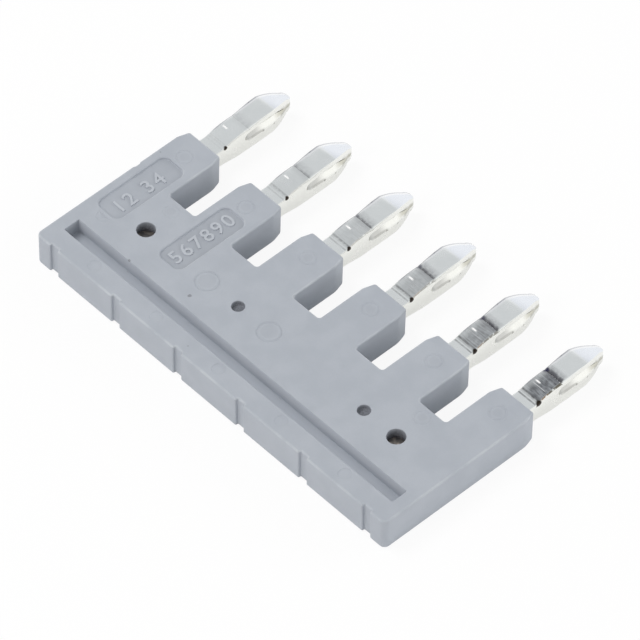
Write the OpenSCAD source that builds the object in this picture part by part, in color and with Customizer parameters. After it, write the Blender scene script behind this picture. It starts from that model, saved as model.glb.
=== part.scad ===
/* [Row of poles] */
// Number of poles, one prong to each
poles = 6; // [4:1:12]
// Distance from one pole to the next
pitch = 5.2; // [4.6:0.1:8]

/* [Insulating body] */
// Thickness of the moulding
body_t = 2.3; // [2.1:0.05:3.2]
// Depth of the solid web, from the back edge to the roots of the gaps
web_d = 7.5; // [7:0.1:10]
// Width of a tooth
tooth_w = 3; // [2.4:0.1:3.6]
// Length of a tooth, from the gap root to its front
tooth_l = 4.15; // [3:0.05:7]
// Radius of the upright corners at the back
back_corner_r = 0.38; // [0.1:0.02:1]
// Radius of the inside corners at the gap roots
gap_root_r = 0.2; // [0.05:0.05:0.5]
// Length of the tapered nose at the front of a tooth
nose_l = 0.8; // [0.4:0.05:2]
// Narrowing of the nose on each side
nose_inset = 0.2; // [0.04:0.02:0.36]
// Drop of the nose, on the top and on the underside
nose_drop = 0.08; // [0.02:0.02:0.3]
// Radius of the nose's upright corners
nose_corner_r = 0.1; // [0.02:0.02:0.3]

/* [Marker groove] */
// Distance from the back edge to the groove
groove_setback = 1.4; // [0.8:0.05:1.6]
// Width of the groove
groove_w = 1.1; // [0.6:0.02:1.2]
// Depth of the groove
groove_d = 1; // [0.3:0.05:1.3]
// Wall left between each end of the groove and the end of the body
groove_end_wall = 0.88; // [0.5:0.02:2]

/* [Index notches] */
// Width of the notch in the back edge at each pole
notch_w = 0.6; // [0.3:0.05:1.2]
// Depth of a notch
notch_d = 0.18; // [0.14:0.01:0.4]
// Radius of the two edges of a notch
notch_edge_r = 0.12; // [0.02:0.02:0.14]

/* [Holding-pin marks] */
// Distance from the back edge to the row of marks
mark_setback = 4.75; // [4.2:0.05:6]
// Diameter of the large marks, between the outer pairs of poles
large_mark_d = 1.15; // [0.6:0.05:1.6]
// Diameter of the small marks, on two of the poles
small_mark_d = 0.82; // [0.4:0.02:1.2]

/* [Marking panels] */
// Width of a recessed panel
panel_w = 1.86; // [1:0.02:2.2]
// Length of a panel, along the tooth
panel_l = 5.35; // [2:0.05:6]
// Distance from the back edge to a panel
panel_setback = 4.02; // [3.6:0.02:4.6]
// Radius of a panel's corners
panel_r = 0.5; // [0.1:0.05:0.5]
// Depth of a panel
panel_d = 0.16; // [0.04:0.02:0.24]

/* [Contact comb] */
// Thickness of the metal strip
strip_t = 1.3; // [0.8:0.02:1.4]
// Distance from the body's back edge to the bus bar inside
bus_setback = 3; // [2.9:0.05:3.5]
// Depth of the bus bar
bus_d = 3.9; // [3:0.1:4]
// Thickness of the bus bar
bus_t = 0.8; // [0.5:0.05:1]
// Insulation left beyond each end of the bus bar
bus_end_wall = 0.75; // [0.4:0.05:1]
// Width of a prong
prong_w = 1.5; // [1:0.05:1.8]
// Length of a prong in front of its tooth
prong_l = 6.5; // [5.8:0.1:9]

/* [Prong head] */
// Length of the straight neck in front of the tooth
neck_l = 0.7; // [0.2:0.05:0.8]
// Length of the waist, from the neck to the crease behind the head
waist_l = 2.05; // [1.2:0.05:2.2]
// Length of the head, from that crease to the top of the nose
head_l = 1.85; // [1:0.05:2]
// Rise of the upper leaf from the neck to the crease
waist_rise = 0.3; // [0:0.02:0.5]
// Rise of the upper leaf from the crease to the top of the nose
head_rise = 0.14; // [0:0.02:0.3]
// Drop of the lower leaf below the neck
belly_drop = 0.16; // [0:0.01:0.3]
// Height of the slotted tip
tip_t = 0.76; // [0.5:0.02:0.9]
// Radius of the tip, seen from above
tip_r = 0.36; // [0.2:0.02:0.5]

/* [Spring eye] */
// Distance from the crease back to the closed end of the eye
eye_back = 0.3; // [0:0.05:0.5]
// Thickness of the upper leaf over the eye
upper_leaf_t = 0.38; // [0.25:0.01:0.45]
// Height of the lower leaf's inner face above or below the middle plane
lower_leaf_z = -0.05; // [-0.15:0.01:0.1]
// Length of the narrow slit between the eye and the tip
slit_l = 0.7; // [0.3:0.05:1]
// Width of the slit
slit_w = 0.08; // [0.04:0.01:0.16]

/* [Hidden] */
$fn = 48;

body_l = (poles - 1) * pitch + tooth_w;
front_y = web_d + tooth_l;
tip_y = front_y + prong_l;
mid_z = body_t / 2;
strip_top = mid_z + strip_t / 2;
strip_low = mid_z - strip_t / 2;
root_y = bus_setback + 0.7 * bus_d;

// Stations of a prong, from its tooth to its tip
waist_y = front_y + neck_l;
crease_y = waist_y + waist_l;
nose_y = crease_y + head_l;
tip_top = mid_z + tip_t / 2;
tip_low = mid_z - tip_t / 2;
crease_z = strip_top + waist_rise;
nose_z = crease_z + head_rise;
belly_z = strip_low - belly_drop;

// The eye between the two leaves
eye_y = crease_y - eye_back;
eye_low = mid_z + lower_leaf_z;
eye_top = crease_z - upper_leaf_t;
eye_end_r = (eye_top - eye_low) / 2;
slit_y = tip_y - slit_l;

// Bulge of each curved stretch of the side outlines, at the middle of its chord
waist_bulge = 0.09;
head_bulge = 0.04;
nose_bulge = 0.11;
belly_bulge = 0.02;
tip_bulge = 0.07;
steps = 8;
cut = 1;

function pole_x(i) = (i - (poles + 1) / 2) * pitch;

// A circular arc from p to q that bulges to the left of its direction
function bow(p, q, bulge) =
    let (chord = norm(q - p), along = (q - p) / chord, out = [-along[1], along[0]],
         r = (chord * chord / 4 + bulge * bulge) / (2 * bulge),
         half = asin(chord / 2 / r), centre = (p + q) / 2 + out * (bulge - r))
    [for (k = [0 : steps]) let (a = half * (2 * k / steps - 1))
        centre + r * (along * sin(a) + out * cos(a))];

// Moves a plan outline or a solid so that the part's middle is at the origin
module centred() {
    translate([0, -tip_y / 2]) children();
}

// A side outline of Y and Z, drawn out along the row
module along_row(length) {
    translate([-length / 2, 0, 0]) rotate([90, 0, 90]) linear_extrude(length) children();
}

// A rectangle with its lower left corner at the origin and all corners round
module round_rect(size, r) {
    translate([r, 0]) square([size[0] - 2 * r, size[1]]);
    translate([0, r]) square([size[0], size[1] - 2 * r]);
    for (x = [r, size[0] - r], y = [r, size[1] - r]) translate([x, y]) circle(r);
}

// Tooth outline from above: parallel, then tapered to a blunt front with round corners
module tooth_plan() {
    corner = [tooth_w / 2 - nose_inset, front_y];
    lean = atan(nose_inset / nose_l);
    reach = nose_corner_r * tan((90 - lean) / 2);
    touch = corner + reach * [sin(lean), -cos(lean)];
    centre = corner - [reach, nose_corner_r];
    for (side = [0, 1]) mirror([side, 0]) {
        polygon([[0, web_d / 2], [tooth_w / 2, web_d / 2], [tooth_w / 2, front_y - nose_l],
                 touch, [centre[0], front_y], [0, front_y]]);
        translate(centre) circle(nose_corner_r);
    }
}

// Web with round back corners, and a tooth at each pole
module body_plan() {
    translate([-body_l / 2, 0]) {
        round_rect([body_l, web_d], back_corner_r);
        translate([0, web_d / 2]) square([body_l, web_d / 2]);
    }
    for (i = [1 : poles]) translate([pole_x(i), 0]) tooth_plan();
    for (i = [1 : poles - 1], side = [0, 1]) translate([(pole_x(i) + pole_x(i + 1)) / 2, web_d])
        mirror([side, 0]) translate([(tooth_w - pitch) / 2, 0]) difference() {
            translate([-cut, -cut]) square(gap_root_r + cut);
            translate([gap_root_r, gap_root_r]) circle(gap_root_r);
        }
}

// Flat slab whose front is bevelled on both faces
module body_side() {
    start_y = front_y - nose_l;
    polygon([[0, 0], [0, body_t], [start_y, body_t], [front_y, body_t - nose_drop],
             [front_y, nose_drop], [start_y, 0]]);
}

module marker_groove() {
    translate([groove_end_wall - body_l / 2, groove_setback, body_t - groove_d])
        cube([body_l - 2 * groove_end_wall, groove_w, groove_d + cut]);
}

// Upright notches in the back edge, their two edges rounded
module index_notches() {
    for (i = [1 : poles]) translate([pole_x(i), 0, -cut]) linear_extrude(body_t + 2 * cut) {
        translate([-notch_w / 2, -cut]) square([notch_w, notch_d + cut]);
        for (side = [0, 1]) mirror([side, 0]) translate([0, -cut]) difference() {
            square([notch_w / 2 + notch_edge_r, notch_edge_r + cut]);
            translate([notch_w / 2 + notch_edge_r, notch_edge_r + cut]) circle(notch_edge_r);
        }
    }
}

// Round marks of the pins that hold the comb in the mould, open down to the metal
module holding_pin_marks() {
    for (x = [pole_x(1) + pitch / 2, pole_x(poles) - pitch / 2])
        translate([x, mark_setback, mid_z]) cylinder(d = large_mark_d, h = body_t);
    for (x = [pole_x(3), pole_x(poles - 1)])
        translate([x, mark_setback, mid_z]) cylinder(d = small_mark_d, h = body_t);
}

module marking_panels() {
    for (i = [1, 2]) translate([pole_x(i) - panel_w / 2, panel_setback, body_t - panel_d])
        linear_extrude(panel_d + cut) round_rect([panel_w, panel_l], panel_r);
}

// Prong outline from the side: bowed upper leaf, nearly straight lower leaf
module prong_side() {
    difference() {
        polygon(concat(
            [[root_y, strip_low], [root_y, strip_top]],
            bow([waist_y, strip_top], [crease_y, crease_z], waist_bulge),
            bow([crease_y, crease_z], [nose_y, nose_z], head_bulge),
            bow([nose_y, nose_z], [tip_y - tip_bulge, tip_top], nose_bulge),
            bow([tip_y - tip_bulge, tip_top], [tip_y - tip_bulge, tip_low], tip_bulge),
            bow([tip_y - tip_bulge, tip_low], [nose_y, belly_z], nose_bulge),
            bow([nose_y, belly_z], [waist_y + waist_l / 2, belly_z], belly_bulge),
            [[waist_y, strip_low]]));
        spring_eye();
    }
}

// Slot between the leaves: blunt at the back, closing to a slit that splits the tip
module spring_eye() {
    slit_top = eye_low + slit_w;
    translate([eye_y + eye_end_r, eye_low + eye_end_r]) circle(eye_end_r);
    polygon(concat(
        [[eye_y + eye_end_r, eye_low], [eye_y + eye_end_r, eye_top]],
        bow([nose_y, nose_z - upper_leaf_t], [slit_y, slit_top], nose_bulge),
        [[tip_y + cut, slit_top], [tip_y + cut, eye_low]]));
}

// Prong outline from above: parallel, then tapered to a round tip
module prong_plan() {
    centre = [0, tip_y - tip_r];
    shoulder = [prong_w / 2, nose_y];
    reach = norm(centre - shoulder);
    lean = atan2(shoulder[0] - centre[0], centre[1] - shoulder[1]) - asin(tip_r / reach);
    touch = centre + tip_r * [cos(lean), sin(lean)];
    translate(centre) circle(tip_r);
    polygon([[-prong_w / 2, root_y], [prong_w / 2, root_y], shoulder, touch,
             [-touch[0], touch[1]], [-shoulder[0], shoulder[1]]]);
}

// Flat bar inside the body, which joins all the prongs
module bus_bar() {
    translate([bus_end_wall - body_l / 2, bus_setback, mid_z - bus_t / 2])
        cube([body_l - 2 * bus_end_wall, bus_d, bus_t]);
}

module comb_shape() {
    bus_bar();
    intersection() {
        linear_extrude(2 * body_t) for (i = [1 : poles]) translate([pole_x(i), 0]) prong_plan();
        along_row(body_l) prong_side();
    }
}

module insulating_body() {
    color("#aeb2ba") centred() difference() {
        intersection() {
            linear_extrude(body_t) body_plan();
            along_row(body_l) body_side();
        }
        marker_groove();
        index_notches();
        holding_pin_marks();
        marking_panels();
        comb_shape();
    }
}

module contact_comb() {
    color("#d3d5d4") centred() comb_shape();
}

insulating_body();
contact_comb();
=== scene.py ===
import math
from collections import namedtuple

import bmesh
import bpy
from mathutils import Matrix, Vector
from mathutils.geometry import delaunay_2d_cdt


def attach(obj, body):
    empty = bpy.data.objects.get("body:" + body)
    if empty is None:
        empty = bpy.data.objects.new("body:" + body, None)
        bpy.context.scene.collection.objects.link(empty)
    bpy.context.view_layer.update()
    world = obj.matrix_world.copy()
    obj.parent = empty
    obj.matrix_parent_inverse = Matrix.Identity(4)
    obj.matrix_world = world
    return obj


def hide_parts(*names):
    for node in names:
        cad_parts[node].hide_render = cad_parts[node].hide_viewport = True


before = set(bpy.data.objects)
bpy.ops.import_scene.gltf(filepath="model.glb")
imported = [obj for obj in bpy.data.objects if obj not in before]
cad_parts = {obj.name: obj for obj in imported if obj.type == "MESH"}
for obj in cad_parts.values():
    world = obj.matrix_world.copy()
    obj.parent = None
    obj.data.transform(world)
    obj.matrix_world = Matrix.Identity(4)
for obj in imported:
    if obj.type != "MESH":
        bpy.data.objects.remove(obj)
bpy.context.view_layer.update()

# Sizes in millimetres. X runs along the row, Y starts at the back edge, Z at the underside.
MM = 0.001
CLOSE = 0.001
POLES = 6
PITCH = 5.2
BODY_T = 2.3
WEB_D = 7.5
TOOTH_W = 3.0
FRONT_Y = 11.65
TIP_Y = 18.15
HALF_L = ((POLES - 1) * PITCH + TOOTH_W) / 2


def pole_x(i):
    return (i - (POLES - 1) / 2) * PITCH


# Moulded edges of the body. A flat margin beside a round edge keeps the large faces flat.
EDGE_MARGIN = 0.02
WALL_MARGIN = 0.05
RIM_MARGIN = 0.03
SPAN_MARGIN = 0.06
LONG_SPAN = 1
LEAST_R = 0.004
TOP_EDGE_R = 0.12
LOW_EDGE_R = 0.1
BACK_CORNER_R = 0.38
GAP_ROOT_R = 0.2
NOTCH_W = 0.6
NOTCH_D = 0.18
NOTCH_EDGE_R = 0.1
NOTCH_ROOT_R = 0.05

# Tooth noses: radius of the upright corners and of the bend behind them, on top and below
NOSE_Y = FRONT_Y - 0.8
NOSE_INSET = 0.2
NOSE_DROP = 0.08
NOSE_SOFT = 0.08
TOP_NOSE_R = (0.18, 0.8)
LOW_NOSE_R = (0.32, 2.4)
SEAM_BEHIND = 0.12
SEAM_AHEAD = 0.33
SEAM_BESIDE = 0.1

# Dent of the moulding gate in the left end
GATE_Y = (7.46, 7.6, 7.9, 8.0)
GATE_D = 0.06
GATE_EDGE_R = 0.1

# Marker groove
GROOVE_Y = 1.95
GROOVE_L = 27.24
GROOVE_W = 1.1
GROOVE_D = 1.0
GROOVE_CORNER_R = 0.06
GROOVE_RIM_R = 0.06
GROOVE_RIM_DEPTH = 0.05
GROOVE_FILLET_R = 0.05
GROOVE_FLOOR_STEPS = (0.2, 0.35)
# Painted light on the groove's floor fades out over this width towards its sides; its end walls get
# painted shade
GROOVE_FLOOR_FADE = 0.3
GROOVE_END_REACH = 0.02
GROOVE_END_SHADE = 0.12

# Marking panels on the first two teeth, how dark their floors are and how far up the shade goes
PANELS = ((pole_x(0), 6.695), (pole_x(1), 6.695))
PANEL_W = 1.86
PANEL_L = 5.35
PANEL_CORNER_R = 0.5
PANEL_D = 0.16
PANEL_RIM_R = 0.09
PANEL_FILLET_R = 0.05
PANEL_SHADES = (0.05, 0.1)
PANEL_SHADE_LIFT = 0.005

# Raised numbers: the digits, their spacing and their shift from the middle of the panel
NUMBERS = (("12 34", 1.25, 0.12, -0.28), ("567890", 1.22, -0.05, 0.0))
NUMBER_H = 0.97
NUMBER_RISE = 0.07
NUMBER_SUNK = 0.03

# Holes left by the mould's large and small pins, with painted shade that grows darker from the rim to the
# floor
PinMark = namedtuple("PinMark", "places radius depth fillet rim_stain floor_stain")
PIN_MARKS = (
    PinMark(((-10.45, 4.79), (10.36, 4.78)), 0.565, 0.8, 0.02, 0.28, 0.9),
    PinMark(((-2.67, 4.76), (7.74, 4.76)), 0.4, 0.32, 0.1, 0.3, 0.6),
)
PIN_RIM_R = 0.05

# Shallow sunk rounds between the notches
SUNK_MARKS = [((i - 2) * PITCH, 0.84) for i in range(POLES - 1)]
SUNK_MARK_R = 0.41
SUNK_MARK_D = 0.045

# Discs in shallow hollows: the reach is the hollow's width round the disc
Disc = namedtuple("Disc", "x y radius reach depth")
DISCS = (
    [Disc(pole_x(i) - 0.02, 10.09, 0.48, 0.09, 0.035) for i in range(2)]
    + [Disc(pole_x(i) - 0.02, 10.09, 0.48, 0.14, 0.045) for i in range(2, POLES)]
    + [Disc(-5.22, 4.74, 0.7, 0.12, 0.06), Disc(-0.08, 4.77, 0.7, 0.12, 0.06)]
    + [Disc(-10.47, 6.74, 0.46, 0.12, 0.03), Disc(10.36, 6.76, 0.46, 0.12, 0.03)]
)
DISC_SHADE = 0.05
DISC_SHADE_INSET = 0.2
CUT_DISC = Disc(-12.86, 3.71, 0.42, 0.08, 0.03)
CUT_DISC_STOP = 3.79
CUT_DISC_STEP = 0.06

# Dark specks on the body: X, Y and radius
SPECKS = ((-5.10, 3.27, 0.15), (-2.41, 0.70, 0.06), (-14.24, 9.33, 0.06), (-9.38, 2.53, 0.12))

# Bus bar inside the web
BUS_Y = (3.0, 6.9)
BUS_Z = (0.75, 1.55)
BUS_HALF_L = HALF_L - 0.75
BUS_CORNER_R = 0.12
BUS_EDGE_R = 0.06

# Places along a prong
ROOT_Y = 5.73
WAIST_Y = 12.35
LINE_Y = 12.61
LINE_HALF = 0.06
BELLY_Y = 13.375
EYE_Y = 14.1
DENT_Y = 14.39
DENT_HALF = 0.07
CREASE_Y = 14.4
HEAD_Y = 16.25
SLIT_Y = 17.45
TIP_R = 0.36
TIP_MID_Y = TIP_Y - TIP_R
TIP_END_Y = 18.08
TIP_TURNS = (12, 24, 36, 47, 56, 64, 71, 77, 81, 84.5)

# Heights and widths of a prong
NECK_LOW_Z = 0.5
NECK_TOP_Z = 1.8
LINE_D = 0.03
DENT_D = 0.05
CREASE_TOP_Z = 2.1
HEAD_LOW_Z = 0.34
HEAD_TOP_Z = 2.24
TIP_Z = 1.15
TIP_HALF_T = 0.38
LEAF_T = 0.38
EYE_R = 0.31
EYE_Z = 1.41
SLIT_Z = (1.1, 1.18)
PRONG_HALF_W = 0.75
LEAST_HALF_W = 0.02
PRONG_BULGE = 0.045
PRONG_EDGE_R = 0.1

# Values that change along a prong, as (y, value) points: the radius of its upper edges, the rise and
# width of the lip inside the eye, and the painted shade with tarnish on the edges of the slit
TOP_EDGE_LINE = ((12.8, PRONG_EDGE_R), (14.2, 0.2), (14.8, 0.2), (15.7, 0.08), (HEAD_Y, 0.05))
LIP_RISE_LINE = ((EYE_Y, 0), (14.2, 0.12), (14.45, 0.25), (15.35, 0.3), (16.3, 0.3),
                 (16.8, 0.24), (17.2, 0.12), (SLIT_Y, 0.06))
LIP_WIDTH_LINE = ((16.6, 0.26), (17.2, 0.12), (SLIT_Y, 0.07))
SLIT_SHADE_LINE = ((16.7, 0), (17.1, 1))

# Painted shade in dark lines across a prong's creases: place, half width, softness, strength on the first
# pole, how much more the last pole has, and how late along the row it grows
DARK_LINES = (
    (12.33, 0.03, 0.04, 0.05, 0.5, 1.0),
    (12.53, 0.03, 0.08, 0.05, 0.3, 1.0),
    (LINE_Y, 0.03, 0.05, 0.1, 0.65, 0.7),
    (DENT_Y, 0.05, 0.06, 0.05, 1.05, 0.9),
    (14.43, 0.09, 0.1, 0.0, 0.85, 3.0),
)

# Camera of the photo
AIM = Vector((-0.2027, -0.3004, 0)) * MM
AZIMUTH = math.radians(47.1598)
ELEVATION = math.radians(49.6517)
DISTANCE = 506.398 * MM
LENS = 502.41


# Shapes

class Shell:
    """Points and faces of one closed piece, filled ring by ring."""

    def __init__(self):
        self.points = []
        self.faces = []
        self.marks = {}

    def ring(self, points):
        first = len(self.points)
        self.points += [tuple(p) for p in points]
        return list(range(first, len(self.points)))

    def wall(self, start, end):
        count = len(start)
        for k in range(count):
            after = (k + 1) % count
            self.faces.append((start[k], start[after], end[after], end[k]))

    def walls(self, rings):
        for start, end in zip(rings, rings[1:]):
            self.wall(start, end)

    def fill(self, outer, openings=(), seams=(), down=False):
        """Closes the flat region between an outer ring and the rings of its openings."""
        used = [v for ring in (outer, *openings) for v in ring]
        number = {v: k for k, v in enumerate(used)}
        flat = [Vector(self.points[v][:2]) for v in used]
        loops = [[number[v] for v in ring] for ring in (outer, *openings)]
        edges = [(number[a], number[b]) for a, b in seams]
        result = delaunay_2d_cdt(flat, edges, loops, 0, 1e-7)
        for face, regions in zip(result[2], result[5]):
            if set(regions) != {0}:
                continue
            corners = [used[result[3][v][0]] for v in face]
            self.faces.append(tuple(reversed(corners)) if down else tuple(corners))

    def store_marks(self, mesh):
        for mark, values in self.marks.items():
            kind = "FLOAT_VECTOR" if isinstance(values[0], tuple) else "FLOAT"
            layer = mesh.attributes.new(mark, kind, "POINT")
            for k, value in enumerate(values):
                if kind == "FLOAT":
                    layer.data[k].value = value
                else:
                    layer.data[k].vector = value

    def piece(self, name, sharp_angle=None):
        """Turns the shell into an object in metres, with its own place in the mesh."""
        mesh = bpy.data.meshes.new(name)
        place = [(x * MM, (y - TIP_Y / 2) * MM, z * MM) for x, y, z in self.points]
        mesh.from_pydata(place, [], self.faces)
        self.store_marks(mesh)
        shaper = bmesh.new()
        shaper.from_mesh(mesh)
        bmesh.ops.recalc_face_normals(shaper, faces=shaper.faces)
        for face in shaper.faces:
            face.smooth = True
        shaper.to_mesh(mesh)
        shaper.free()
        if sharp_angle:
            mesh.set_sharp_from_angle(angle=math.radians(sharp_angle))
        return add_to_scene(name, mesh)


def add_to_scene(name, data):
    thing = bpy.data.objects.new(name, data)
    bpy.context.scene.collection.objects.link(thing)
    return thing


def mesh_made_by(thing):
    depsgraph = bpy.context.evaluated_depsgraph_get()
    return bpy.data.meshes.new_from_object(thing.evaluated_get(depsgraph))


def rounded(corners, inset):
    """Path along corners (x, y, radius, steps) taken anticlockwise, moved inwards by inset."""
    arcs, spans = [], []
    count = len(corners)
    for k, (x, y, radius, steps) in enumerate(corners):
        here = Vector((x, y))
        before = Vector(corners[k - 1][:2])
        after = Vector(corners[(k + 1) % count][:2])
        way_in = (here - before).normalized()
        way_out = (after - here).normalized()
        side_in = Vector((-way_in.y, way_in.x))
        side_out = Vector((-way_out.y, way_out.x))
        turn = math.atan2(way_in.cross(way_out), way_in.dot(way_out))
        bend = 1 if turn > 0 else -1
        reach = max(radius - bend * inset, LEAST_R)
        corner = here + (side_in + side_out) * (inset / (1 + side_in.dot(side_out)))
        start = corner - way_in * reach * math.tan(abs(turn) / 2)
        centre = start + side_in * reach * bend
        arc = []
        for j in range(steps + 1):
            angle = turn * j / steps
            arm = Vector((side_in.x * math.cos(angle) - side_in.y * math.sin(angle),
                          side_in.x * math.sin(angle) + side_in.y * math.cos(angle)))
            arc.append(centre - arm * reach * bend)
        arcs.append(arc)
        spans.append((after - here).length)
    path = []
    for k, arc in enumerate(arcs):
        path += arc
        follow = arcs[(k + 1) % count][0]
        if spans[k] > LONG_SPAN:
            way = (follow - arc[-1]).normalized()
            path += [arc[-1] + way * SPAN_MARGIN, follow - way * SPAN_MARGIN]
    return path


def rectangle(x, y, size_x, size_y, radius, steps=6):
    a, b = size_x / 2, size_y / 2
    return [(x - a, y - b, radius, steps), (x + a, y - b, radius, steps),
            (x + a, y + b, radius, steps), (x - a, y + b, radius, steps)]


def circle(x, y, radius, steps=40):
    return [Vector((x + radius * math.cos(math.tau * k / steps),
                    y + radius * math.sin(math.tau * k / steps))) for k in range(steps)]


def corner_path(corners):
    return lambda inset: rounded(corners, inset)


def round_path(x, y, radius):
    return lambda inset: circle(x, y, radius - inset)


def cut_path(disc):
    """Path of a disc that stops short at a straight line."""
    def path(inset):
        stop = CUT_DISC_STOP - min(inset, CUT_DISC_STEP)
        return [Vector((p.x, min(p.y, stop))) for p in circle(disc.x, disc.y, disc.radius - inset)]
    return path


def quarter(steps):
    return [math.pi / 2 * j / steps for j in range(steps + 1)]


def round_edge(radius, steps):
    """Steps (inset, drop) over a round edge, from the side to the flat."""
    return [(radius * (1 - math.cos(a)), radius * (1 - math.sin(a))) for a in quarter(steps)]


def sunk_profile(rim, depth, fillet):
    """Steps (inset, depth) from the flat top over a round rim down to a filleted floor."""
    steps = [(-rim - RIM_MARGIN, 0)]
    steps += [(-drop, inset) for inset, drop in round_edge(rim, 4)]
    steps += [(inset, depth - drop) for inset, drop in round_edge(fillet, 5)]
    return steps + [(fillet + RIM_MARGIN, depth)]


def soft_step(depth):
    """Steps (inset, depth) of a soft edge down to a flat floor."""
    reach, ease = 0.03, 0.006
    return [(-reach, 0), (-reach / 2, ease), (0, depth / 2), (reach / 2, depth - ease), (reach, depth)]


def disc_profile(reach, depth):
    """Steps (inset, depth) that fall slowly round a disc and rise steeply to its flat top."""
    fall = [(-reach, 0), (-0.8 * reach, 0.1), (-0.5 * reach, 0.6), (-0.03, 0.98), (0, 1)]
    rise = [(0.02, 0.93), (0.06, 0.5), (0.1, 0.07), (0.12, 0), (0.16, 0), (0.22, 0)]
    return [(inset, share * depth) for inset, share in fall + rise]


def sink(shell, path, profile):
    """Adds one sunk shape to the body's top; gives the ring the top is cut along."""
    rings = [shell.ring([(p.x, p.y, BODY_T - depth) for p in path(inset)]) for inset, depth in profile]
    shell.walls(rings)
    shell.fill(rings[-1])
    return rings[0]


# Moulded body

def body_corners(nose_r):
    """Corners of the body from above, anticlockwise from the back left one."""
    corner_r, bend_r = nose_r
    corners = [(-HALF_L, 0, BACK_CORNER_R, 8)]
    for i in range(POLES):
        left, right = pole_x(i) - NOTCH_W / 2, pole_x(i) + NOTCH_W / 2
        corners += [(left, 0, NOTCH_EDGE_R, 5), (left, NOTCH_D, NOTCH_ROOT_R, 3),
                    (right, NOTCH_D, NOTCH_ROOT_R, 3), (right, 0, NOTCH_EDGE_R, 5)]
    corners.append((HALF_L, 0, BACK_CORNER_R, 8))
    for i in reversed(range(POLES)):
        left, right = pole_x(i) - TOOTH_W / 2, pole_x(i) + TOOTH_W / 2
        if i < POLES - 1:
            corners.append((right, WEB_D, GAP_ROOT_R, 6))
        corners += [(right, NOSE_Y, bend_r, 8), (right - NOSE_INSET, FRONT_Y, corner_r, 6),
                    (left + NOSE_INSET, FRONT_Y, corner_r, 6), (left, NOSE_Y, bend_r, 8)]
        if i > 0:
            corners.append((left, WEB_D, GAP_ROOT_R, 6))
    gate_x = -HALF_L + GATE_D
    gate = zip((-HALF_L, gate_x, gate_x, -HALF_L), reversed(GATE_Y))
    return corners + [(x, y, GATE_EDGE_R, 2) for x, y in gate]


def nose_drop(y):
    """Depth of the bevel of a tooth, with a soft bend where it begins."""
    slope = NOSE_DROP / (FRONT_Y - NOSE_Y)
    past = y - NOSE_Y
    if past < -NOSE_SOFT:
        return 0
    if past > NOSE_SOFT:
        return slope * past
    return slope * (past + NOSE_SOFT) ** 2 / (4 * NOSE_SOFT)


def nose_seams(shell, ring):
    """Pairs of points joined across each tooth, so that the bevel bends along straight lines."""
    def place_y(v):
        return shell.points[v][1]

    seams = []
    for i in range(POLES):
        left, right = [], []
        for v in ring:
            off = shell.points[v][0] - pole_x(i)
            near = abs(off) < TOOTH_W / 2 + SEAM_BESIDE
            if near and -SEAM_BEHIND < place_y(v) - NOSE_Y < SEAM_AHEAD:
                (left if off < 0 else right).append(v)
        seams += list(zip(sorted(left, key=place_y), sorted(right, key=place_y)))
    return seams


def on_groove_end(x, y, z):
    """Whether a point is on one of the two end walls of the groove."""
    at_end = abs(abs(x) - GROOVE_L / 2) < GROOVE_END_REACH and abs(y - GROOVE_Y) < GROOVE_W / 2
    return at_end and z < BODY_T - GROOVE_RIM_DEPTH


def stain(x, y, z):
    """How dark the body is at a point: painted shade down the pin marks and on the groove's end walls, and
    darker discs and panel floors.
    """
    for mark in PIN_MARKS:
        if any(math.hypot(x - mark_x, y - mark_y) < mark.radius + CLOSE for mark_x, mark_y in mark.places):
            more = mark.floor_stain - mark.rim_stain
            return mark.rim_stain + more * (BODY_T - z) / mark.depth
    for disc in DISCS:
        if math.hypot(x - disc.x, y - disc.y) < disc.radius - DISC_SHADE_INSET:
            return DISC_SHADE
    for (mid_x, mid_y), shade in zip(PANELS, PANEL_SHADES):
        within = abs(x - mid_x) < PANEL_W / 2 and abs(y - mid_y) < PANEL_L / 2
        if within and z < BODY_T - PANEL_D + PANEL_SHADE_LIFT:
            return shade
    return GROOVE_END_SHADE if on_groove_end(x, y, z) else 0.0


def rim_sheen(x, y, z):
    """How much painted highlight the rim of a marking panel gets at a point: only on the side that faces
    the row.
    """
    inside, outside, deep = 0.3, 0.1, 0.1
    for mid_x, mid_y in PANELS:
        out_x, out_y = x - mid_x - PANEL_W / 2, abs(y - mid_y) - PANEL_L / 2
        beside = -inside < out_x < outside and out_y < outside
        if beside and BODY_T - deep < z < BODY_T - CLOSE:
            return 1.0
    return 0.0


def painted_groove_light(x, y, z):
    """How much painted light the groove gets at a point: paler high on its sides and darker downwards, and
    on its floor darker towards the sides.
    """
    inwards = min(GROOVE_L / 2 - abs(x), GROOVE_W / 2 - abs(y - GROOVE_Y))
    lift = z - (BODY_T - GROOVE_D)
    within = inwards >= -CLOSE and -CLOSE <= lift <= GROOVE_D - GROOVE_RIM_DEPTH
    if not within or on_groove_end(x, y, z):
        return 0.0
    return math.sqrt(lift / GROOVE_D) if lift > CLOSE else min(inwards / GROOVE_FLOOR_FADE, 1)


def body_wall(shell):
    """Adds the outer wall of the body, from the underside to the top; gives its rings."""
    low_corners, top_corners = body_corners(LOW_NOSE_R), body_corners(TOP_NOSE_R)

    def ring(corners, inset, height):
        return shell.ring([(p.x, p.y, height(p.y)) for p in rounded(corners, inset)])

    def above(lift):
        return lambda y: nose_drop(y) + lift

    def below(fall):
        return lambda y: BODY_T - nose_drop(y) - fall

    rings = [ring(low_corners, LOW_EDGE_R + EDGE_MARGIN, above(0))]
    rings += [ring(low_corners, inset, above(drop)) for inset, drop in reversed(round_edge(LOW_EDGE_R, 5))]
    rings += [ring(low_corners, 0, above(LOW_EDGE_R + WALL_MARGIN)),
              ring(top_corners, 0, below(TOP_EDGE_R + WALL_MARGIN))]
    rings += [ring(top_corners, inset, below(drop)) for inset, drop in round_edge(TOP_EDGE_R, 6)]
    rings.append(ring(top_corners, TOP_EDGE_R + EDGE_MARGIN, below(0)))
    shell.walls(rings)
    return rings


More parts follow.
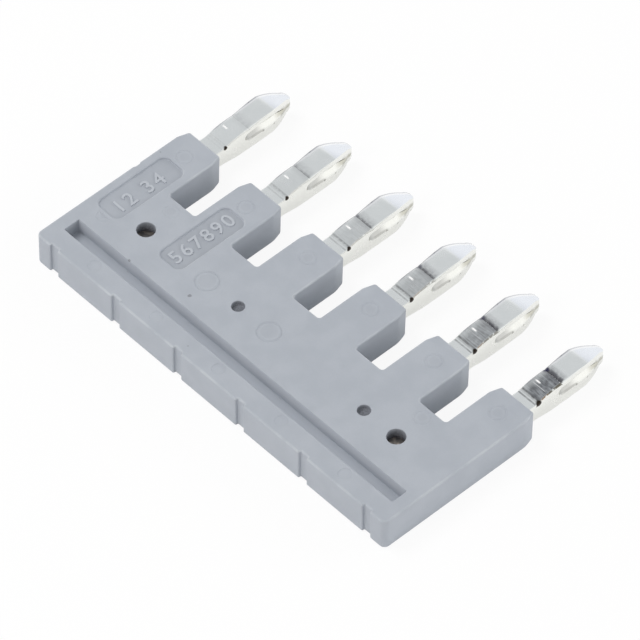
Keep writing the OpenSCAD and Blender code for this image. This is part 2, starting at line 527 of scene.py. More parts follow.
def body_openings(shell):
    """Adds all that is sunk into the top of the body; gives the rings it is cut along."""
    groove = rectangle(0, GROOVE_Y, GROOVE_L, GROOVE_W, GROOVE_CORNER_R)
    profile = sunk_profile(GROOVE_RIM_R, GROOVE_D, GROOVE_FILLET_R)
    profile += [(inset, GROOVE_D) for inset in GROOVE_FLOOR_STEPS]
    openings = [sink(shell, corner_path(groove), profile)]
    for x, y in PANELS:
        panel = rectangle(x, y, PANEL_W, PANEL_L, PANEL_CORNER_R, 10)
        profile = sunk_profile(PANEL_RIM_R, PANEL_D, PANEL_FILLET_R)
        openings.append(sink(shell, corner_path(panel), profile))
    for mark in PIN_MARKS:
        profile = sunk_profile(PIN_RIM_R, mark.depth, mark.fillet)
        openings += [sink(shell, round_path(x, y, mark.radius), profile) for x, y in mark.places]
    for x, y in SUNK_MARKS:
        openings.append(sink(shell, round_path(x, y, SUNK_MARK_R), soft_step(SUNK_MARK_D)))
    for disc in DISCS:
        path = round_path(disc.x, disc.y, disc.radius)
        openings.append(sink(shell, path, disc_profile(disc.reach, disc.depth)))
    short_profile = disc_profile(CUT_DISC.reach, CUT_DISC.depth)[:-2]
    openings.append(sink(shell, cut_path(CUT_DISC), short_profile))
    return openings


def build_body():
    shell = Shell()
    rings = body_wall(shell)
    shell.fill(rings[0], seams=nose_seams(shell, rings[0]), down=True)
    openings = body_openings(shell)
    shell.fill(rings[-1], openings, nose_seams(shell, rings[-1]))
    # Rings of the rounded top edge, which get a painted highlight
    top_edge = {v for ring in rings[-7:-2] for v in ring}
    shell.marks = {
        "stain": [stain(*point) for point in shell.points],
        "edge_sheen": [1.0 if v in top_edge else rim_sheen(*point) for v, point in enumerate(shell.points)],
        "groove_light": [painted_groove_light(*point) for point in shell.points],
    }
    return shell.piece("moulded_body")


def number_mesh(digits, spacing):
    """Mesh of one line of digits with softened edges, in the units of the font."""
    curve = bpy.data.curves.new("numbers", "FONT")
    curve.body = digits
    curve.align_x = "CENTER"
    curve.space_character = spacing
    curve.resolution_u = 5
    curve.extrude = 0.02
    curve.bevel_depth = 0.012
    curve.bevel_resolution = 2
    carrier = add_to_scene("numbers", curve)
    mesh = mesh_made_by(carrier)
    bpy.data.objects.remove(carrier)
    bpy.data.curves.remove(curve)
    return mesh


def build_numbers():
    """Raised plain numbers in the marking panels, read along the teeth."""
    shell = Shell()
    floor = BODY_T - PANEL_D - NUMBER_SUNK
    thick = NUMBER_RISE + NUMBER_SUNK
    for (x, y), (digits, spacing, off_x, off_y) in zip(PANELS, NUMBERS):
        mesh = number_mesh(digits, spacing)
        low = min(v.co.y for v in mesh.vertices)
        high = max(v.co.y for v in mesh.vertices)
        deep = max(v.co.z for v in mesh.vertices)
        scale = NUMBER_H / (high - low)
        first = len(shell.points)
        for v in mesh.vertices:
            across = NUMBER_H / 2 - (v.co.y - low) * scale
            lift = (v.co.z / deep + 1) / 2 * thick
            shell.points.append((x + off_x + across, y + off_y + v.co.x * scale, floor + lift))
        shell.faces += [tuple(first + v for v in face.vertices) for face in mesh.polygons]
        bpy.data.meshes.remove(mesh)
    shell.marks = {"raised": [1.0] * len(shell.points)}
    return shell.piece("panel_numbers", 50)


# Contact comb

def bow(start, end, bulge):
    """Height along an arc that joins two (y, z) points and stands off their chord by bulge."""
    chord = Vector(end) - Vector(start)
    length = chord.length
    way = chord / length
    side = 1 if bulge > 0 else -1
    off = Vector((-way.y, way.x)) * side
    rise = abs(bulge)
    radius = (length * length / 4 + rise * rise) / (2 * rise)
    centre = (Vector(start) + Vector(end)) / 2 + off * (rise - radius)

    def height(y):
        return centre.y + side * math.sqrt(max(radius * radius - (y - centre.x) ** 2, 0))
    return height


WAIST_TOP = bow((WAIST_Y, NECK_TOP_Z), (CREASE_Y, CREASE_TOP_Z), 0.09)
HEAD_TOP = bow((CREASE_Y, CREASE_TOP_Z), (HEAD_Y, HEAD_TOP_Z), 0.04)
NOSE_TOP = bow((HEAD_Y, HEAD_TOP_Z), (TIP_END_Y, TIP_Z + TIP_HALF_T), 0.11)
BELLY = bow((BELLY_Y, HEAD_LOW_Z), (HEAD_Y, HEAD_LOW_Z), -0.02)
CHIN = bow((HEAD_Y, HEAD_LOW_Z), (TIP_END_Y, TIP_Z - TIP_HALF_T), -0.11)
EYE_NOSE = bow((HEAD_Y, HEAD_TOP_Z - LEAF_T), (SLIT_Y, SLIT_Z[1]), 0.11)


def along(points, y):
    """Value on a line through (y, value) points."""
    for (y0, v0), (y1, v1) in zip(points, points[1:]):
        if y <= y1:
            return v0 + (v1 - v0) * max(0, y - y0) / (y1 - y0)
    return points[-1][1]


def dent(y, place, half, depth):
    """A small V pressed across the metal."""
    return depth * max(0, 1 - abs(y - place) / half)


def tip_half(y):
    """Half of the metal's thickness in the rounded tip."""
    return TIP_HALF_T * math.sqrt(max(1 - ((y - TIP_END_Y) / (TIP_Y - TIP_END_Y)) ** 2, 0))


def prong_top(y):
    if y < WAIST_Y:
        return NECK_TOP_Z
    if y < HEAD_Y:
        plain = WAIST_TOP(y) if y < CREASE_Y else HEAD_TOP(y)
        return plain - dent(y, LINE_Y, LINE_HALF, LINE_D) - dent(y, DENT_Y, DENT_HALF, DENT_D)
    if y < TIP_END_Y:
        return NOSE_TOP(y)
    return TIP_Z + tip_half(y)


def prong_low(y):
    if y < BELLY_Y:
        return along(((WAIST_Y, NECK_LOW_Z), (BELLY_Y, HEAD_LOW_Z)), y)
    if y < HEAD_Y:
        return BELLY(y)
    if y < TIP_END_Y:
        return CHIN(y)
    return TIP_Z - tip_half(y)


def prong_half(y):
    """Half width from above: parallel, then a bulging taper that runs into the round tip."""
    reach = math.hypot(PRONG_HALF_W, HEAD_Y - TIP_MID_Y)
    lean = math.atan2(TIP_MID_Y - HEAD_Y, PRONG_HALF_W) - math.acos(TIP_R / reach)
    touch_x, touch_y = TIP_R * math.cos(lean), TIP_MID_Y + TIP_R * math.sin(lean)
    if y <= HEAD_Y:
        return PRONG_HALF_W
    if y < touch_y:
        share = (y - HEAD_Y) / (touch_y - HEAD_Y)
        return PRONG_HALF_W + (touch_x - PRONG_HALF_W) * share + 4 * PRONG_BULGE * share * (1 - share)
    return math.sqrt(max(TIP_R ** 2 - (y - TIP_MID_Y) ** 2, LEAST_HALF_W ** 2))


def eye_gap(y):
    """Lower and upper edge of the opening between the two leaves."""
    round_y, high = EYE_Y + EYE_R, EYE_Z + EYE_R
    if y < round_y:
        half = math.sqrt(max(EYE_R ** 2 - (round_y - y) ** 2, 0))
        return EYE_Z - half, EYE_Z + half
    if y < HEAD_Y:
        return SLIT_Z[0], along(((round_y, high), (HEAD_Y, HEAD_TOP_Z - LEAF_T)), y)
    if y < SLIT_Y:
        return SLIT_Z[0], max(EYE_NOSE(y), SLIT_Z[1])
    return SLIT_Z


def lip_width(y):
    return min(along(LIP_WIDTH_LINE, y), 0.5 * prong_half(y))


def slit_shade(x, y, z):
    """How much painted shade with tarnish the outer edges of the slit get at a point, from the front of
    the eye to the tip.
    """
    at_side = prong_half(y) - abs(x) <= CLOSE
    at_slit = min(abs(z - edge) for edge in eye_gap(y)) <= CLOSE
    return along(SLIT_SHADE_LINE, y) if at_side and at_slit else 0.0


def edge_pair(half, edge, radius, up, steps=4):
    """Two round edges of a section: (x, z, turn from side to flat), anticlockwise seen from the tip."""
    side = 1 if up else -1
    first = [(side, a) for a in quarter(steps)]
    second = [(-side, a) for a in reversed(quarter(steps))]
    return [(s * (half - radius * (1 - math.cos(a))), edge - side * radius * (1 - math.sin(a)), a)
            for s, a in first + second]


def stations(start, end, step):
    """Even places from start to end, about a step apart."""
    count = max(1, round((end - start) / step))
    return [round(start + (end - start) * k / count, 4) for k in range(count + 1)]


def around(place, half):
    return [place - half, place, place + half]


class Prong(Shell):
    """One split spring prong at X 0: a stem that parts into two leaves round an eye."""

    def __init__(self):
        super().__init__()
        self.marks = {mark: [] for mark in ("prong_place", "upper", "inner", "from_left", "slit")}

    def section(self, y, parts):
        """Adds a ring of (x, z, how far it faces up, whether it is inside the eye)."""
        for x, z, on_top, inside in parts:
            self.marks["prong_place"].append((x, y, z))
            self.marks["upper"].append(on_top)
            self.marks["inner"].append(inside)
            self.marks["from_left"].append(x + prong_half(y))
            self.marks["slit"].append(slit_shade(x, y, z))
        return self.ring([(x, y, z) for x, z, on_top, inside in parts])

    def low_pair(self, y, thick):
        half = prong_half(y)
        radius = min(PRONG_EDGE_R, 0.45 * thick, 0.7 * half)
        return [(x, z, 0.0, 0.0) for x, z, a in edge_pair(half, prong_low(y), radius, False)]

    def top_pair(self, y, thick):
        half = prong_half(y)
        radius = min(along(TOP_EDGE_LINE, y), 0.55 * thick, 0.7 * half)
        return [(x, z, math.sin(a), 0.0) for x, z, a in edge_pair(half, prong_top(y), radius, True)]

    def at_side(self, y, z, side):
        return [(side * prong_half(y), z, 0.0, 0.0)]

    def inside_pair(self, y, z):
        half = prong_half(y) - lip_width(y)
        return [(half, z, 0.0, 1.0), (-half, z, 0.0, 1.0)]

    def stem(self):
        """Adds the stem from its root to the eye; gives its last ring and the count of its low points."""
        thick = 1
        places = set(stations(ROOT_Y, WAIST_Y, 1.2) + stations(WAIST_Y, EYE_Y, 0.12))
        rings = []
        for y in sorted(places | set(around(LINE_Y, LINE_HALF))):
            low, top = self.low_pair(y, thick), self.top_pair(y, thick)
            parts = low + self.at_side(y, EYE_Z, 1) + top + self.at_side(y, EYE_Z, -1)
            rings.append(self.section(y, parts))
        self.walls(rings)
        self.faces.append(tuple(rings[0]))
        return rings[-1], len(low)

    def leaf_places(self):
        """Places of the leaves' sections: closest in the round ends and at the crease."""
        places = {EYE_Y + EYE_R * (1 - math.cos(a)) for a in quarter(8)[1:]}
        places |= set(stations(EYE_Y + EYE_R, HEAD_Y, 0.13)[1:] + stations(HEAD_Y, TIP_MID_Y, 0.11)[1:])
        places |= {*around(DENT_Y, DENT_HALF), SLIT_Y}
        return sorted(places) + [TIP_MID_Y + TIP_R * math.sin(math.radians(d)) for d in TIP_TURNS]

    def leaves(self, root, low_count):
        """Adds the two leaves in front of the stem's last ring, which begins with its low points."""
        right, left = root[low_count], root[-1]
        chord = self.section(EYE_Y, self.inside_pair(EYE_Y, EYE_Z))
        lower_rings = [root[:low_count] + [right, *chord, left]]
        upper_rings = [[right, *root[low_count + 1:-1], left, *reversed(chord)]]
        for y in self.leaf_places():
            low, high = eye_gap(y)
            lower = self.low_pair(y, low - prong_low(y)) + self.at_side(y, low, 1)
            lower += self.inside_pair(y, low + along(LIP_RISE_LINE, y)) + self.at_side(y, low, -1)
            lower_rings.append(self.section(y, lower))
            upper = self.at_side(y, high, 1) + self.top_pair(y, prong_top(y) - high)
            upper += self.at_side(y, high, -1) + self.inside_pair(y, high)[::-1]
            upper_rings.append(self.section(y, upper))
        for rings in (lower_rings, upper_rings):
            self.walls(rings)
            self.faces.append(tuple(reversed(rings[-1])))


def build_prong():
    prong = Prong()
    prong.leaves(*prong.stem())
    return prong.piece("prong", 38)


def build_bus_bar():
    """The flat bar inside the web; only spots of it are seen in the pin marks."""
    shell = Shell()
    corners = rectangle(0, sum(BUS_Y) / 2, 2 * BUS_HALF_L, BUS_Y[1] - BUS_Y[0], BUS_CORNER_R)

    def ring(inset, z):
        return shell.ring([(p.x, p.y, z) for p in rounded(corners, inset)])

    edge = round_edge(BUS_EDGE_R, 4)
    rings = [ring(inset, BUS_Z[0] + drop) for inset, drop in reversed(edge)]
    rings += [ring(inset, BUS_Z[1] - drop) for inset, drop in edge]
    shell.walls(rings)
    shell.fill(rings[0], down=True)
    shell.fill(rings[-1])
    return shell.piece("bus_bar")


# Node trees

class Nodes:
    """Short calls that add nodes to one tree and link them."""

    def __init__(self, tree):
        self.tree = tree

    def add(self, kind, inputs=(), **settings):
        node = self.tree.nodes.new(kind)
        for key, value in settings.items():
            setattr(node, key, value)
        for key, value in dict(inputs).items():
            self.put(node.inputs[key], value)
        return node

    def put(self, slot, value):
        if isinstance(value, bpy.types.NodeSocket):
            self.tree.links.new(value, slot)
        else:
            slot.default_value = value

    def math(self, kind, *values, clamp=False):
        node = self.add("ShaderNodeMath", operation=kind, use_clamp=clamp)
        for slot, value in zip(node.inputs, values):
            self.put(slot, value)
        return node.outputs[0]

    def times(self, result, *values):
        for value in values:
            result = self.math("MULTIPLY", result, value)
        return result

    def vector(self, kind, a, b):
        return self.add("ShaderNodeVectorMath", operation=kind, inputs={0: a, 1: b}).outputs[0]

    def noise(self, vector, scale, detail):
        inputs = {"Vector": vector, "Scale": scale, "Detail": detail}
        return self.add("ShaderNodeTexNoise", inputs=inputs).outputs[0]

    def mark(self, name, output="Fac"):
        return self.add("ShaderNodeAttribute", attribute_name=name).outputs[output]

    def mix(self, share, a, b):
        node = self.add("ShaderNodeMix", data_type="RGBA")
        self.put(node.inputs[0], share)
        self.put(node.inputs[6], a)
        self.put(node.inputs[7], b)
        return node.outputs[2]

    def remap(self, value, low, high, to_low=0.0, to_high=1.0):
        node = self.add("ShaderNodeMapRange", interpolation_type="SMOOTHSTEP")
        for slot, item in zip(node.inputs, (value, low, high, to_low, to_high)):
            self.put(slot, item)
        return node.outputs[0]

    def bump(self, height, strength, distance):
        inputs = {"Height": height, "Strength": strength, "Distance": distance * MM}
        return self.add("ShaderNodeBump", inputs=inputs).outputs[0]

    def group(self, tree, **inputs):
        return self.add("ShaderNodeGroup", node_tree=tree, inputs=inputs).outputs


def new_group(name, inputs, outputs, kind="ShaderNodeTree"):
    tree = bpy.data.node_groups.new(name, kind)
    for way, sockets in (("INPUT", inputs), ("OUTPUT", outputs)):
        for label, value_kind in sockets.items():
            tree.interface.new_socket(label, in_out=way, socket_type="NodeSocket" + value_kind)
    nodes = Nodes(tree)
    return nodes, nodes.add("NodeGroupInput").outputs, nodes.add("NodeGroupOutput").inputs


def prong_row_tree():
    """Geometry nodes that carry one prong to every pole and number the poles."""
    inputs = {"Geometry": "Geometry", "Prong": "Object", "Poles": "Int", "Pitch": "Float",
              "Finish": "Material"}
    nodes, entry, leave = new_group("prong_row", inputs, {"Geometry": "Geometry"}, "GeometryNodeTree")
    poles, pitch = entry["Poles"], entry["Pitch"]
    half_row = nodes.math("MULTIPLY", nodes.math("SUBTRACT", poles, 1), -0.5)
    start = nodes.add("ShaderNodeCombineXYZ", inputs={"X": nodes.math("MULTIPLY", half_row, pitch)})
    offset = nodes.add("ShaderNodeCombineXYZ", inputs={"X": pitch})
    line = nodes.add("GeometryNodeMeshLine", mode="OFFSET", inputs={
        "Count": poles, "Start Location": start.outputs[0], "Offset": offset.outputs[0]})
    source = nodes.add("GeometryNodeObjectInfo", inputs={"Object": entry["Prong"]})
    spread = nodes.add("GeometryNodeInstanceOnPoints", inputs={
        "Points": line.outputs["Mesh"], "Instance": source.outputs["Geometry"]})
    index = nodes.add("GeometryNodeInputIndex").outputs[0]
    number = nodes.add("GeometryNodeStoreNamedAttribute", data_type="FLOAT", domain="INSTANCE", inputs={
        "Geometry": spread.outputs["Instances"], "Name": "pole", "Value": index})
    real = nodes.add("GeometryNodeRealizeInstances", inputs={"Geometry": number.outputs[0]})
    finish = nodes.add("GeometryNodeSetMaterial", inputs={
        "Geometry": real.outputs[0], "Material": entry["Finish"]})
    nodes.put(leave["Geometry"], finish.outputs[0])
    return nodes.tree


def build_prong_row(finish):
    prong = build_prong()
    tree = prong_row_tree()
    carrier = add_to_scene("carrier", bpy.data.meshes.new("carrier"))
    maker = carrier.modifiers.new("prong_row", "NODES")
    maker.node_group = tree
    socket = {item.name: item.identifier for item in tree.interface.items_tree if item.in_out == "INPUT"}
    maker[socket["Prong"]] = prong
    maker[socket["Poles"]] = POLES
    maker[socket["Pitch"]] = PITCH * MM
    maker[socket["Finish"]] = finish
    mesh = mesh_made_by(carrier)
    carrier.modifiers.remove(maker)
    row = add_to_scene("prong_row", mesh)
    bpy.data.objects.remove(carrier)
    bpy.data.objects.remove(prong)
    return row


# Effects that materials share

def band_group():
    """Mask of a soft-edged band: 1 within Half of Centre, 0 beyond Half plus Soft."""
    inputs = {"Value": "Float", "Centre": "Float", "Half": "Float", "Soft": "Float"}
    nodes, entry, leave = new_group("band", inputs, {"Mask": "Float"})
    off = nodes.math("ABSOLUTE", nodes.math("SUBTRACT", entry["Value"], entry["Centre"]))
    past = nodes.math("DIVIDE", nodes.math("SUBTRACT", off, entry["Half"]), entry["Soft"])
    nodes.put(leave["Mask"], nodes.math("SUBTRACT", 1.0, past, clamp=True))
    return nodes.tree


def spot_group():
    """Mask of a soft round spot at Place, ragged by a fine noise."""
    inputs = {"Vector": "Vector", "Place": "Vector", "Radius": "Float"}
    nodes, entry, leave = new_group("spot", inputs, {"Mask": "Float"})
    ends = {0: entry["Vector"], 1: entry["Place"]}
    far = nodes.add("ShaderNodeVectorMath", operation="DISTANCE", inputs=ends).outputs["Value"]
    ragged = nodes.math("ADD", nodes.noise(entry["Vector"], 6.0, 2.0), 0.6)
    share = nodes.math("DIVIDE", nodes.math("MULTIPLY", far, ragged), entry["Radius"])
    nodes.put(leave["Mask"], nodes.remap(share, 1.0, 0.6))
    return nodes.tree


def mottle_group():
    """Slow cloudiness and fine grain of a surface, from a place in millimetres."""
    inputs = {"Vector": "Vector", "Coarse": "Float", "Fine": "Float"}
    nodes, entry, leave = new_group("mottle", inputs, {"Cloud": "Float", "Grain": "Float"})
    nodes.put(leave["Cloud"], nodes.noise(entry["Vector"], entry["Coarse"], 3.0))
    nodes.put(leave["Grain"], nodes.noise(entry["Vector"], entry["Fine"], 2.0))
    return nodes.tree


# Materials

def new_material(name):
    material = bpy.data.materials.new(name)
    material.use_nodes = True
    material.node_tree.nodes.clear()
    nodes = Nodes(material.node_tree)
    surface = nodes.add("ShaderNodeBsdfPrincipled")
    nodes.add("ShaderNodeOutputMaterial", inputs={"Surface": surface.outputs[0]})
    return material, nodes, surface.inputs


def place_in_mm(nodes):
    place = nodes.add("ShaderNodeTexCoord").outputs["Object"]
    inputs = {0: place, "Scale": 1 / MM}
    return nodes.add("ShaderNodeVectorMath", operation="SCALE", inputs=inputs).outputs[0]


def nylon_material(groups):
    """Mottled satin grey with painted highlights on the rounded edges, painted shade down the pin marks,
    painted light in the groove and a few specks.
    """
    deep, light, grainy = (0.395, 0.425, 0.47, 1), (0.425, 0.455, 0.50, 1), (0.33, 0.35, 0.39, 1)
    on_numbers, highlight_grey, groove_lit_grey = (0.52, 0.55, 0.59, 1), (0.52, 0.55, 0.58, 1), (0.52, 0.55, 0.60, 1)
    dark_grey, speck_grey = (0.048, 0.045, 0.058, 1), (0.12, 0.12, 0.13, 1)
    material, nodes, surface = new_material("grey_nylon")
    place = place_in_mm(nodes)
    mottle = nodes.group(groups["mottle"], Vector=place, Coarse=0.7, Fine=11.0)
    cloud, grain = mottle["Cloud"], mottle["Grain"]
    colour = nodes.mix(nodes.remap(cloud, 0.3, 0.7), deep, light)
    colour = nodes.mix(nodes.remap(grain, 0.35, 0.75, 0.0, 0.10), colour, grainy)
    colour = nodes.mix(nodes.times(nodes.mark("raised"), 0.5), colour, on_numbers)
    # Painted highlight on the rounded top edges and on one side of the panel rims
    sheen = nodes.times(nodes.mark("edge_sheen"), nodes.remap(cloud, 0.35, 0.65, 0.15, 0.6))
    colour = nodes.mix(sheen, colour, highlight_grey)
    # Painted light in the groove, paler high on its walls and in the middle of its floor
    colour = nodes.mix(nodes.times(nodes.mark("groove_light"), 0.8), colour, groove_lit_grey)
    uneven = nodes.remap(grain, 0.35, 0.65, 1.1, 0.8)
    # Painted shade down the pin marks and on the groove's end walls, and darker discs and panel floors
    colour = nodes.mix(nodes.math("MULTIPLY", nodes.mark("stain"), uneven, clamp=True), colour, dark_grey)
    for x, y, radius in SPECKS:
        centre = (x, y - TIP_Y / 2, BODY_T)
        speck = nodes.group(groups["spot"], Vector=place, Place=centre, Radius=radius)["Mask"]
        colour = nodes.mix(nodes.times(speck, 0.55), colour, speck_grey)
    nodes.put(surface["Base Color"], colour)
    nodes.put(surface["Roughness"], nodes.remap(cloud, 0.3, 0.7, 0.5, 0.6))
    nodes.put(surface["Specular IOR Level"], 0.3)
    nodes.put(surface["Normal"], nodes.bump(grain, 0.5, 0.004))
    return material


class TinNodes(Nodes):
    """Nodes on the prongs: the marks stored there, and masks made from them."""

    def __init__(self, tree, groups):
        super().__init__(tree)
        self.groups = groups
        self.place = self.mark("prong_place", "Vector")
        self.x, self.y, self.z = self.add("ShaderNodeSeparateXYZ", inputs={0: self.place}).outputs
        self.upper = self.mark("upper")
        self.level = self.remap(self.upper, 0.8, 1.0)
        self.from_left = self.mark("from_left")
        self.row = self.math("DIVIDE", self.mark("pole"), float(POLES - 1))
        shift = self.add("ShaderNodeCombineXYZ", inputs={"Z": self.times(self.row, 37.0)})
        self.own_place = self.vector("ADD", self.place, shift.outputs[0])
        mottle = self.group(groups["mottle"], Vector=self.own_place, Coarse=1.4, Fine=16.0)
        self.cloud, self.grain = mottle["Cloud"], mottle["Grain"]
        self.patches = self.group(groups["mottle"], Vector=self.own_place, Coarse=4.5, Fine=9.0)["Cloud"]
        self.broken = self.remap(self.patches, 0.38, 0.58, 0.6, 1.0)
        # Painted highlight: a short white dash on the waist's convex bend
        self.dash = self.times(self.band(self.y, 13.48, 0.035, 0.04), self.band(self.x, -0.3, 0.1, 0.15),
                               self.upper)

    def band(self, value, centre, half, soft):
        return self.group(self.groups["band"], Value=value, Centre=centre, Half=half, Soft=soft)["Mask"]

    def spot(self, centre, radius):
        return self.group(self.groups["spot"], Vector=self.place, Place=centre, Radius=radius)["Mask"]

    def row_growth(self, least, more, power):
        """Grows from least on the first pole to least plus more on the last one."""
        return self.math("MULTIPLY_ADD", self.math("POWER", self.row, power), more, least)


def plating(tin):
    """Painted reflections: cool darker flats, warmer lighter sides and a bluish nose; a painted highlight
    on the head's left rim, and painted light and shade inside the eye.
    """
    # Painted reflections: the flats darker and cooler than the warmer, lighter sides, and a bluish nose
    flat = tin.mix(tin.cloud, (0.80, 0.83, 0.83, 1), (0.88, 0.90, 0.90, 1))
    sides = tin.mix(tin.cloud, (0.86, 0.865, 0.825, 1), (0.93, 0.935, 0.90, 1))
    flat = tin.mix(tin.remap(tin.y, HEAD_Y, HEAD_Y + 0.3), flat, (0.83, 0.86, 0.91, 1))
    # Painted highlight along the left rim of the head
    rim = tin.times(tin.band(tin.from_left, 0.13, 0.05, 0.1), tin.remap(tin.y, 14.5, 15.2))
    flat = tin.mix(rim, flat, (0.95, 0.96, 0.97, 1))
    # Painted light and shade inside the eye: grey at its closed end, white in the middle, olive towards
    # the slit
    eye_light = tin.mix(tin.remap(tin.y, 14.9, 15.7), (0.67, 0.67, 0.64, 1), (0.98, 0.98, 0.93, 1))
    eye_light = tin.mix(tin.remap(tin.y, 16.4, 17.1), eye_light, (0.66, 0.65, 0.57, 1))
    return tin.mix(tin.remap(tin.mark("inner"), 0.02, 0.3), tin.mix(tin.upper, sides, flat), eye_light)


def waist_reflection(tin, colour):
    """Painted dark reflection in streaks across the waist, stronger towards the last pole."""
    stripes = tin.noise(tin.vector("MULTIPLY", tin.own_place, (1.2, 15.0, 1.2)), 1.0, 3.0)
    uneven = tin.math("MULTIPLY_ADD", tin.patches, 0.35, tin.times(stripes, 0.75))
    dark_reflection = tin.mix(tin.remap(uneven, 0.38, 0.72), (0.115, 0.12, 0.13, 1), (0.41, 0.43, 0.45, 1))
    across = tin.remap(tin.x, -0.6, -0.1, 0.5, 1.0)
    share = tin.times(tin.band(tin.y, 13.5, 0.83, 0.1), tin.level, across, tin.row_growth(0.0, 0.97, 1.5))
    return tin.mix(share, colour, dark_reflection)


def dark_lines(tin, colour):
    """Broken dark lines of painted shade in the creases across the waist, and the soft painted shade round
    the crease.
    """
    for centre, half, soft, least, more, power in DARK_LINES:
        line = tin.band(tin.y, centre, half, soft)
        share = tin.times(line, tin.level, tin.broken, tin.row_growth(least, more, power))
        colour = tin.mix(share, colour, (0.03, 0.03, 0.035, 1))
    fade = tin.times(tin.band(tin.y, 14.45, 0.1, 0.4), tin.level, tin.broken, tin.row_growth(0.15, 0.5, 1.0))
    return tin.mix(fade, colour, (0.2, 0.2, 0.22, 1))


def left_edge(tin, colour):
    """Dark spots, and a thin dark outline of painted shade along the left edge."""
    crease_end = tin.times(tin.spot((-0.66, 14.4, 2.08), 0.28), tin.row_growth(0.0, 0.9, 1.3))
    colour = tin.mix(crease_end, colour, (0.05, 0.05, 0.10, 1))
    shoulder = tin.times(tin.spot((-0.7, 15.65, 2.2), 0.1), 0.6)
    colour = tin.mix(shoulder, colour, (0.12, 0.12, 0.14, 1))
    # Painted shade along the rounding of the left edge
    length = tin.times(tin.remap(tin.y, 12.7, 13.2), tin.remap(tin.y, 15.2, 16.8, 0.8, 0.4))
    outline = tin.times(tin.band(tin.from_left, 0.03, 0.06, 0.05), length, tin.remap(tin.upper, 0.2, 0.45))
    return tin.mix(outline, colour, (0.30, 0.30, 0.34, 1))


def right_edge(tin, colour):
    """A ragged brown fringe on the waist's right edge, and the dark spot where it begins."""
    ragged = tin.remap(tin.patches, 0.36, 0.5)
    edge = tin.times(tin.band(tin.upper, 0.6, 0.24, 0.1), tin.remap(tin.x, 0.2, 0.4))
    fringe = tin.times(edge, tin.band(tin.y, 13.5, 0.85, 0.15), ragged, tin.row_growth(0.05, 0.9, 1.4))
    brown = tin.mix(tin.band(tin.y, 12.95, 0.2, 0.2), (0.13, 0.12, 0.09, 1), (0.30, 0.20, 0.12, 1))
    colour = tin.mix(fringe, colour, brown)
    corner = tin.spot((0.72, 12.57, 1.74), tin.row_growth(0.18, 0.09, 2.0))
    return tin.mix(corner, colour, (0.035, 0.028, 0.022, 1))


def painted_highlights(tin, colour):
    """Painted highlights: a short white dash on every waist, and a thin line and glints that grow towards
    the last pole.
    """
    highlight_line = tin.times(tin.band(tin.y, 13.27, 0.006, 0.02), tin.band(tin.x, 0.0, 0.45, 0.1),
                        tin.upper, tin.row_growth(0.0, 0.8, 3.0))
    glint = tin.times(tin.band(tin.y, 14.32, 0.02, 0.03), tin.remap(tin.grain, 0.56, 0.62),
                      tin.upper, tin.row_growth(0.0, 1.0, 1.5))
    bright = tin.math("MAXIMUM", tin.math("MAXIMUM", tin.dash, highlight_line), glint)
    return tin.mix(bright, colour, (0.97, 0.97, 0.97, 1))


def eye_shade(tin, colour):
    """A painted shadow under the eye's lower lip, and painted shade with tarnish on the edges of the slit.
    """
    # Painted shadow of the lower lip below the eye
    lip_shadow = tin.times(tin.band(tin.z, 1.12, 0.02, 0.08), tin.band(tin.y, 15.0, 0.35, 0.35),
                     tin.band(tin.x, 0.75, 0.06, 0.08), 0.6)
    lip_shadow = tin.math("MAXIMUM", lip_shadow, tin.times(tin.spot((0.75, 15.5, 1.08), 0.12), 0.8))
    lip_shadow = tin.math("MAXIMUM", lip_shadow, tin.times(tin.spot((0.75, 16.38, 1.02), 0.11), 0.6))
    colour = tin.mix(tin.times(lip_shadow, 0.75), colour, (0.22, 0.21, 0.19, 1))
    # Painted shade with tarnish along the edges of the slit
    slit = tin.remap(tin.mark("slit"), 0.5, 1.0)
    return tin.mix(tin.times(slit, 0.65), colour, (0.36, 0.35, 0.29, 1))


def tin_material(groups):
    """Bright tin with painted reflections, highlights and shade; the waists get darker towards the last
    pole.
    """
    material, nodes, surface = new_material("bright_tin")
    tin = TinNodes(nodes.tree, groups)
    colour = plating(tin)
    for layer in (waist_reflection, dark_lines, left_edge, right_edge, painted_highlights, eye_shade):
        colour = layer(tin, colour)
    tin.put(surface["Base Color"], colour)
    # The painted highlight dash is made nearly unmetallic so that it shows white
    tin.put(surface["Metallic"], tin.math("SUBTRACT", 1.0, tin.times(tin.dash, 0.9)))
    tin.put(surface["Roughness"], tin.remap(tin.cloud, 0.3, 0.7, 0.2, 0.28))
    tin.put(surface["Normal"], tin.bump(tin.grain, 0.3, 0.003))
    return material


def bar_material(groups):
    """Dull metal at the bottom of the pin marks."""
    material, nodes, surface = new_material("dull_copper")
    mottle = nodes.group(groups["mottle"], Vector=place_in_mm(nodes), Coarse=2.5, Fine=14.0)
    patches = nodes.remap(mottle["Cloud"], 0.4, 0.75)
    nodes.put(surface["Base Color"], nodes.mix(patches, (0.30, 0.28, 0.27, 1), (0.75, 0.66, 0.57, 1)))
    nodes.put(surface["Metallic"], 1.0)
    nodes.put(surface["Roughness"], nodes.remap(mottle["Grain"], 0.3, 0.7, 0.3, 0.5))
    nodes.put(surface["Normal"], nodes.bump(mottle["Grain"], 0.4, 0.008))
    return material


# Stage

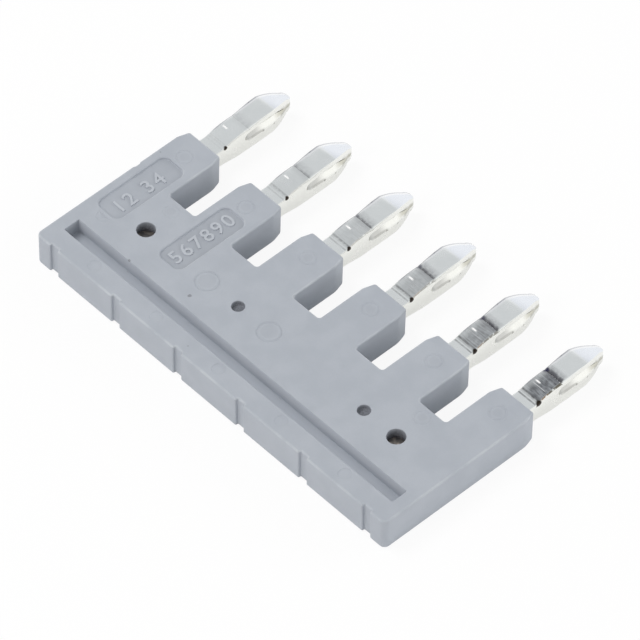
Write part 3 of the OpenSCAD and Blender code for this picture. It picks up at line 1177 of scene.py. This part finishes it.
def build_world():
    """White to the camera; a tent of plain light with a slightly darker roof for everything else."""
    white = (1, 1, 1, 1)
    world = bpy.data.worlds.new("tent")
    bpy.context.scene.world = world
    world.use_nodes = True
    world.node_tree.nodes.clear()
    nodes = Nodes(world.node_tree)
    ray = nodes.add("ShaderNodeLightPath").outputs
    way = nodes.add("ShaderNodeTexCoord").outputs["Generated"]
    up = nodes.add("ShaderNodeSeparateXYZ", inputs={0: way}).outputs[2]
    mirrored = nodes.mix(nodes.remap(up, 0.4, 0.72), white, (0.70, 0.71, 0.72, 1))
    shining = nodes.mix(nodes.remap(up, 0.2, 0.72), (0.88, 0.88, 0.88, 1), (0.38, 0.38, 0.38, 1))
    plain = nodes.mix(ray["Is Glossy Ray"], shining, mirrored)
    seen = nodes.mix(ray["Is Camera Ray"], plain, white)
    sky = nodes.add("ShaderNodeBackground", inputs={"Color": seen, "Strength": 1.0})
    nodes.add("ShaderNodeOutputWorld", inputs={"Surface": sky.outputs[0]})


def floor_material():
    """Pale paint that keeps the shadow, and glows white to the camera and in the metal."""
    material = bpy.data.materials.new("pale_floor")
    material.use_nodes = True
    material.node_tree.nodes.clear()
    nodes = Nodes(material.node_tree)
    ray = nodes.add("ShaderNodeLightPath").outputs
    paint = nodes.add("ShaderNodeBsdfDiffuse", inputs={"Color": (0.92, 0.92, 0.92, 1)})
    glow = nodes.add("ShaderNodeEmission", inputs={"Color": (1, 1, 1, 1), "Strength": 1.0})
    mirrored = nodes.times(ray["Is Glossy Ray"], 0.6)
    share = nodes.math("MULTIPLY_ADD", ray["Is Camera Ray"], 0.9, mirrored)
    both = nodes.add("ShaderNodeMixShader", inputs={0: share, 1: paint.outputs[0], 2: glow.outputs[0]})
    nodes.add("ShaderNodeOutputMaterial", inputs={"Surface": both.outputs[0]})
    return material


def build_floor():
    half = 400 * MM
    corners = [(-half, -half, 0), (half, -half, 0), (half, half, 0), (-half, half, 0)]
    mesh = bpy.data.meshes.new("floor")
    mesh.from_pydata(corners, [], [(0, 1, 2, 3)])
    mesh.materials.append(floor_material())
    return add_to_scene("floor", mesh)


def build_lamp(name, place, size, power, tint=(1, 1, 1)):
    """A round lamp that looks at the object, with its place and size in metres."""
    light = bpy.data.lights.new(name, "AREA")
    light.color = tint
    light.shape = "DISK"
    light.size = size
    light.energy = power
    lamp = add_to_scene(name, light)
    lamp.location = place
    lamp.rotation_euler = (-Vector(place)).to_track_quat("-Z", "Y").to_euler()
    lamp.visible_glossy = False
    return lamp


def build_camera():
    data = bpy.data.cameras.new("camera")
    data.lens = LENS
    data.sensor_width = 36
    data.clip_start = 0.01
    data.clip_end = 10
    data.dof.use_dof = False
    camera = add_to_scene("camera", data)
    level = math.cos(ELEVATION)
    away = Vector((math.sin(AZIMUTH) * level, -math.cos(AZIMUTH) * level, math.sin(ELEVATION)))
    camera.location = AIM + away * DISTANCE
    camera.rotation_euler = away.to_track_quat("Z", "Y").to_euler()
    bpy.context.scene.camera = camera


def place_piece(piece, node, material=None):
    if material:
        piece.data.materials.clear()
        piece.data.materials.append(material)
    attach(piece, "root")
    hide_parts(node)


groups = {"band": band_group(), "spot": spot_group(), "mottle": mottle_group()}
nylon = nylon_material(groups)
tinned = tin_material(groups)
copper = bar_material(groups)
place_piece(build_body(), "insulating_body", nylon)
place_piece(build_numbers(), "insulating_body", nylon)
place_piece(build_prong_row(tinned), "contact_comb")
place_piece(build_bus_bar(), "contact_comb", copper)

build_world()
key = build_lamp("key", place=(-0.21, -0.12, 0.44), size=0.25, power=1.0)
back = build_lamp("back", place=(0.0, -0.40, 0.31), size=0.2, power=0.48, tint=(1.0, 0.94, 0.90))
front = build_lamp("front", place=(0.20, 0.42, 0.15), size=0.3, power=0.6)
side = build_lamp("side", place=(0.45, 0.12, 0.17), size=0.3, power=0.3)
build_floor()
build_camera()
bpy.context.scene.view_settings.view_transform = "Standard"
